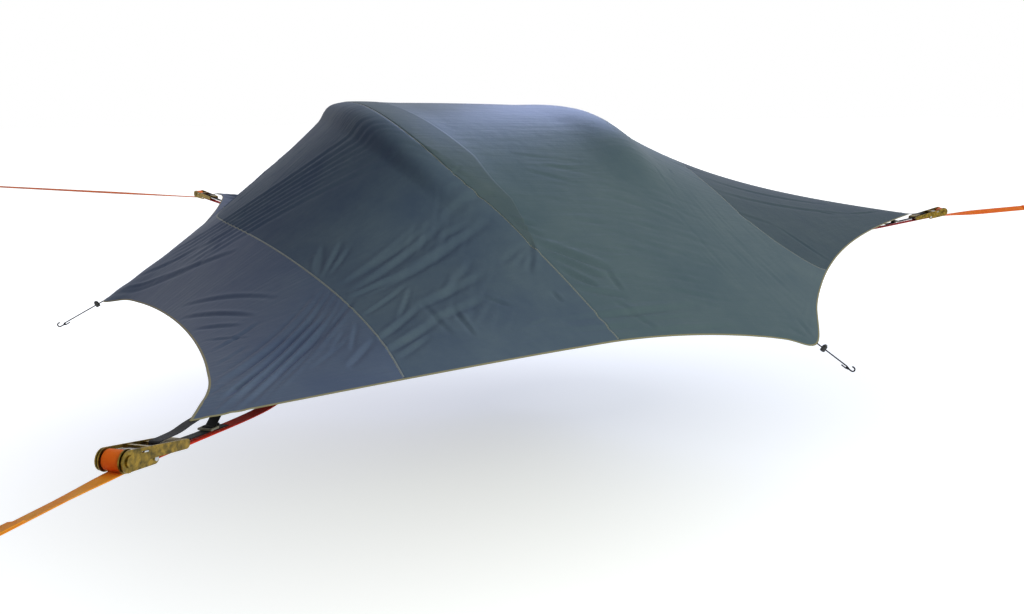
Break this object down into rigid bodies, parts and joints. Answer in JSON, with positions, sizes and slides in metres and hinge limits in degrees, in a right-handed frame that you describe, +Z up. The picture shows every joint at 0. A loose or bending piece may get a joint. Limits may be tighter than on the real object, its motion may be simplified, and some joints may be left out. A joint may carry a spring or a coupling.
{
  "type": "tree tent",
  "caption": "Triangular tree tent hung by webbing ratchet straps: rainfly over arched poles, insect net, floor with hatch, tie-out cords with hooks.",
  "frame": {"origin": "the point in the middle of the tent where the lines of its three tree straps meet, level with the straps", "axes": "+Z up; +X to the rear corner; -X to the front tie-out; +Y to the right-hand side seen from the front"},
  "size_m": [6.973, 8.8387, 0.9104],
  "materials": {
    "rainfly_cloth": "coated woven polyester, soft sheen",
    "insect_mesh": "fine open mesh",
    "floor_cloth": "coated woven polyester",
    "red_webbing": "woven webbing",
    "orange_webbing": "woven webbing",
    "black_webbing": "woven webbing",
    "pole_alloy": "anodised tube",
    "black_plastic": "moulded",
    "khaki_plastic": "moulded",
    "elastic_cord": "braided elastic cord",
    "yellow_zinc_steel": "pressed steel, yellow zinc plated",
    "plain_steel": "plain zinc plated steel"
  },
  "bodies": {
    "tent": {"rainfly": "rainfly_cloth", "insect_net": "insect_mesh", "floor_panel": "floor_cloth", "edge_webbing": "black_webbing", "hatch_ring": "red_webbing", "front_pole": "pole_alloy", "rear_pole": "pole_alloy", "front_left_pole_cup": "black_plastic", "front_right_pole_cup": "black_plastic", "rear_left_pole_cup": "black_plastic", "rear_right_pole_cup": "black_plastic", "rear_ratchet_frame": "yellow_zinc_steel", "rear_anchor_bolt": "plain_steel", "rear_anchor_webbing": "red_webbing", "rear_tree_strap": "orange_webbing", "rear_corner_strap": "black_webbing", "rear_ladder_lock": "khaki_plastic", "front_left_ratchet_frame": "yellow_zinc_steel", "front_left_anchor_bolt": "plain_steel", "front_left_anchor_webbing": "red_webbing", "front_left_tree_strap": "orange_webbing", "front_left_corner_strap": "black_webbing", "front_left_ladder_lock": "khaki_plastic", "front_right_ratchet_frame": "yellow_zinc_steel", "front_right_anchor_bolt": "plain_steel", "front_right_anchor_webbing": "red_webbing", "front_right_tree_strap": "orange_webbing", "front_right_corner_strap": "black_webbing", "front_right_ladder_lock": "khaki_plastic", "front_tie_cord": "elastic_cord", "left_tie_cord": "elastic_cord", "right_tie_cord": "elastic_cord"},
    "rear_spool": {"rear_spool": "yellow_zinc_steel", "rear_wound_strap": "orange_webbing"},
    "rear_handle": {"rear_handle": "yellow_zinc_steel"},
    "rear_drive_pawl": {"rear_drive_pawl": "plain_steel"},
    "rear_lock_pawl": {"rear_lock_pawl": "plain_steel"},
    "front_left_spool": {"front_left_spool": "yellow_zinc_steel", "front_left_wound_strap": "orange_webbing"},
    "front_left_handle": {"front_left_handle": "yellow_zinc_steel"},
    "front_left_drive_pawl": {"front_left_drive_pawl": "plain_steel"},
    "front_left_lock_pawl": {"front_left_lock_pawl": "plain_steel"},
    "front_right_spool": {"front_right_spool": "yellow_zinc_steel", "front_right_wound_strap": "orange_webbing"},
    "front_right_handle": {"front_right_handle": "yellow_zinc_steel"},
    "front_right_drive_pawl": {"front_right_drive_pawl": "plain_steel"},
    "front_right_lock_pawl": {"front_right_lock_pawl": "plain_steel"},
    "floor_hatch": {"floor_hatch": "floor_cloth"},
    "hatch_zip_slider": {"hatch_zip_slider": "plain_steel"},
    "front_cord_lock": {"front_cord_lock": "black_plastic"},
    "front_lock_button": {"front_lock_button": "black_plastic"},
    "front_hook": {"front_hook": "plain_steel"},
    "left_cord_lock": {"left_cord_lock": "black_plastic"},
    "left_lock_button": {"left_lock_button": "black_plastic"},
    "left_hook": {"left_hook": "plain_steel"},
    "right_cord_lock": {"right_cord_lock": "black_plastic"},
    "right_lock_button": {"right_lock_button": "black_plastic"},
    "right_hook": {"right_hook": "plain_steel"}
  },
  "joints": [
    {"name": "rear_spool_turn", "type": "hinge", "parent": "tent", "child": "rear_spool", "pos_m": [2.60125, 0, 0.03069], "axis": [0, 1, 0], "continuous": true},
    {"name": "rear_handle_swing", "type": "hinge", "parent": "tent", "child": "rear_handle", "pos_m": [2.60125, 0, 0.03069], "axis": [0, 1, 0], "range_deg": [0, 150], "deforming": ["rear_corner_strap"]},
    {"name": "rear_drive_pawl_slide", "type": "slide", "parent": "rear_handle", "child": "rear_drive_pawl", "axis": [0.9836, 0, 0.1805], "range_m": [-0.004, 0.0045], "stiffness_N_per_m": 400},
    {"name": "rear_lock_pawl_slide", "type": "slide", "parent": "tent", "child": "rear_lock_pawl", "axis": [-0.9836, 0, -0.1805], "range_m": [0, 0.0045], "stiffness_N_per_m": 400},
    {"name": "front_left_spool_turn", "type": "hinge", "parent": "tent", "child": "front_left_spool", "pos_m": [-1.29955, -2.25088, 0.04412], "axis": [0.866, -0.5, 0], "continuous": true},
    {"name": "front_left_handle_swing", "type": "hinge", "parent": "tent", "child": "front_left_handle", "pos_m": [-1.29955, -2.25088, 0.04412], "axis": [0.866, -0.5, 0], "range_deg": [0, 150], "deforming": ["front_left_corner_strap"]},
    {"name": "front_left_drive_pawl_slide", "type": "slide", "parent": "front_left_handle", "child": "front_left_drive_pawl", "axis": [-0.4858, -0.8414, 0.2368], "range_m": [-0.004, 0.0045], "stiffness_N_per_m": 400},
    {"name": "front_left_lock_pawl_slide", "type": "slide", "parent": "tent", "child": "front_left_lock_pawl", "axis": [0.4858, 0.8414, -0.2368], "range_m": [0, 0.0045], "stiffness_N_per_m": 400},
    {"name": "front_right_spool_turn", "type": "hinge", "parent": "tent", "child": "front_right_spool", "pos_m": [-1.30153, 2.25432, 0.00935], "axis": [-0.866, -0.5, 0], "continuous": true},
    {"name": "front_right_handle_swing", "type": "hinge", "parent": "tent", "child": "front_right_handle", "pos_m": [-1.30153, 2.25432, 0.00935], "axis": [-0.866, -0.5, 0], "range_deg": [0, 150], "deforming": ["front_right_corner_strap"]},
    {"name": "front_right_drive_pawl_slide", "type": "slide", "parent": "front_right_handle", "child": "front_right_drive_pawl", "axis": [-0.4979, 0.8625, 0.0906], "range_m": [-0.004, 0.0045], "stiffness_N_per_m": 400},
    {"name": "front_right_lock_pawl_slide", "type": "slide", "parent": "tent", "child": "front_right_lock_pawl", "axis": [0.4979, -0.8625, -0.0906], "range_m": [0, 0.0045], "stiffness_N_per_m": 400},
    {"name": "hatch_hinge", "type": "hinge", "parent": "tent", "child": "floor_hatch", "pos_m": [0.28, 0, -0.051], "axis": [0, -1, 0], "range_deg": [0, 90]},
    {"name": "zip_slide", "type": "slide", "parent": "tent", "child": "hatch_zip_slider", "axis": [0, 1, 0], "range_m": [0, 0.24]},
    {"name": "front_cord_lock_slide", "type": "slide", "parent": "tent", "child": "front_cord_lock", "axis": [-0.8829, 0, -0.4695], "range_m": [-0.012, 0.116]},
    {"name": "front_lock_button_press", "type": "slide", "parent": "front_cord_lock", "child": "front_lock_button", "axis": [0.4695, 0, -0.8829], "range_m": [0, 0.004], "stiffness_N_per_m": 500},
    {"name": "front_hook_swing", "type": "hinge", "parent": "tent", "child": "front_hook", "pos_m": [-1.77264, 0, -0.25069], "axis": [0, -1, 0], "range_deg": [-60, 60]},
    {"name": "left_cord_lock_slide", "type": "slide", "parent": "tent", "child": "left_cord_lock", "axis": [0.4415, -0.7647, -0.4695], "range_m": [-0.012, 0.066]},
    {"name": "left_lock_button_press", "type": "slide", "parent": "left_cord_lock", "child": "left_lock_button", "axis": [-0.2347, 0.4066, -0.8829], "range_m": [0, 0.004], "stiffness_N_per_m": 500},
    {"name": "left_hook_swing", "type": "hinge", "parent": "tent", "child": "left_hook", "pos_m": [0.86425, -1.49692, -0.22722], "axis": [0.866, 0.5, 0], "range_deg": [-60, 60]},
    {"name": "right_cord_lock_slide", "type": "slide", "parent": "tent", "child": "right_cord_lock", "axis": [0.4415, 0.7647, -0.4695], "range_m": [-0.012, 0.066]},
    {"name": "right_lock_button_press", "type": "slide", "parent": "right_cord_lock", "child": "right_lock_button", "axis": [-0.2347, -0.4066, -0.8829], "range_m": [0, 0.004], "stiffness_N_per_m": 500},
    {"name": "right_hook_swing", "type": "hinge", "parent": "tent", "child": "right_hook", "pos_m": [0.86425, 1.49692, -0.22722], "axis": [-0.866, 0.5, 0], "range_deg": [-60, 60]}
  ]
}
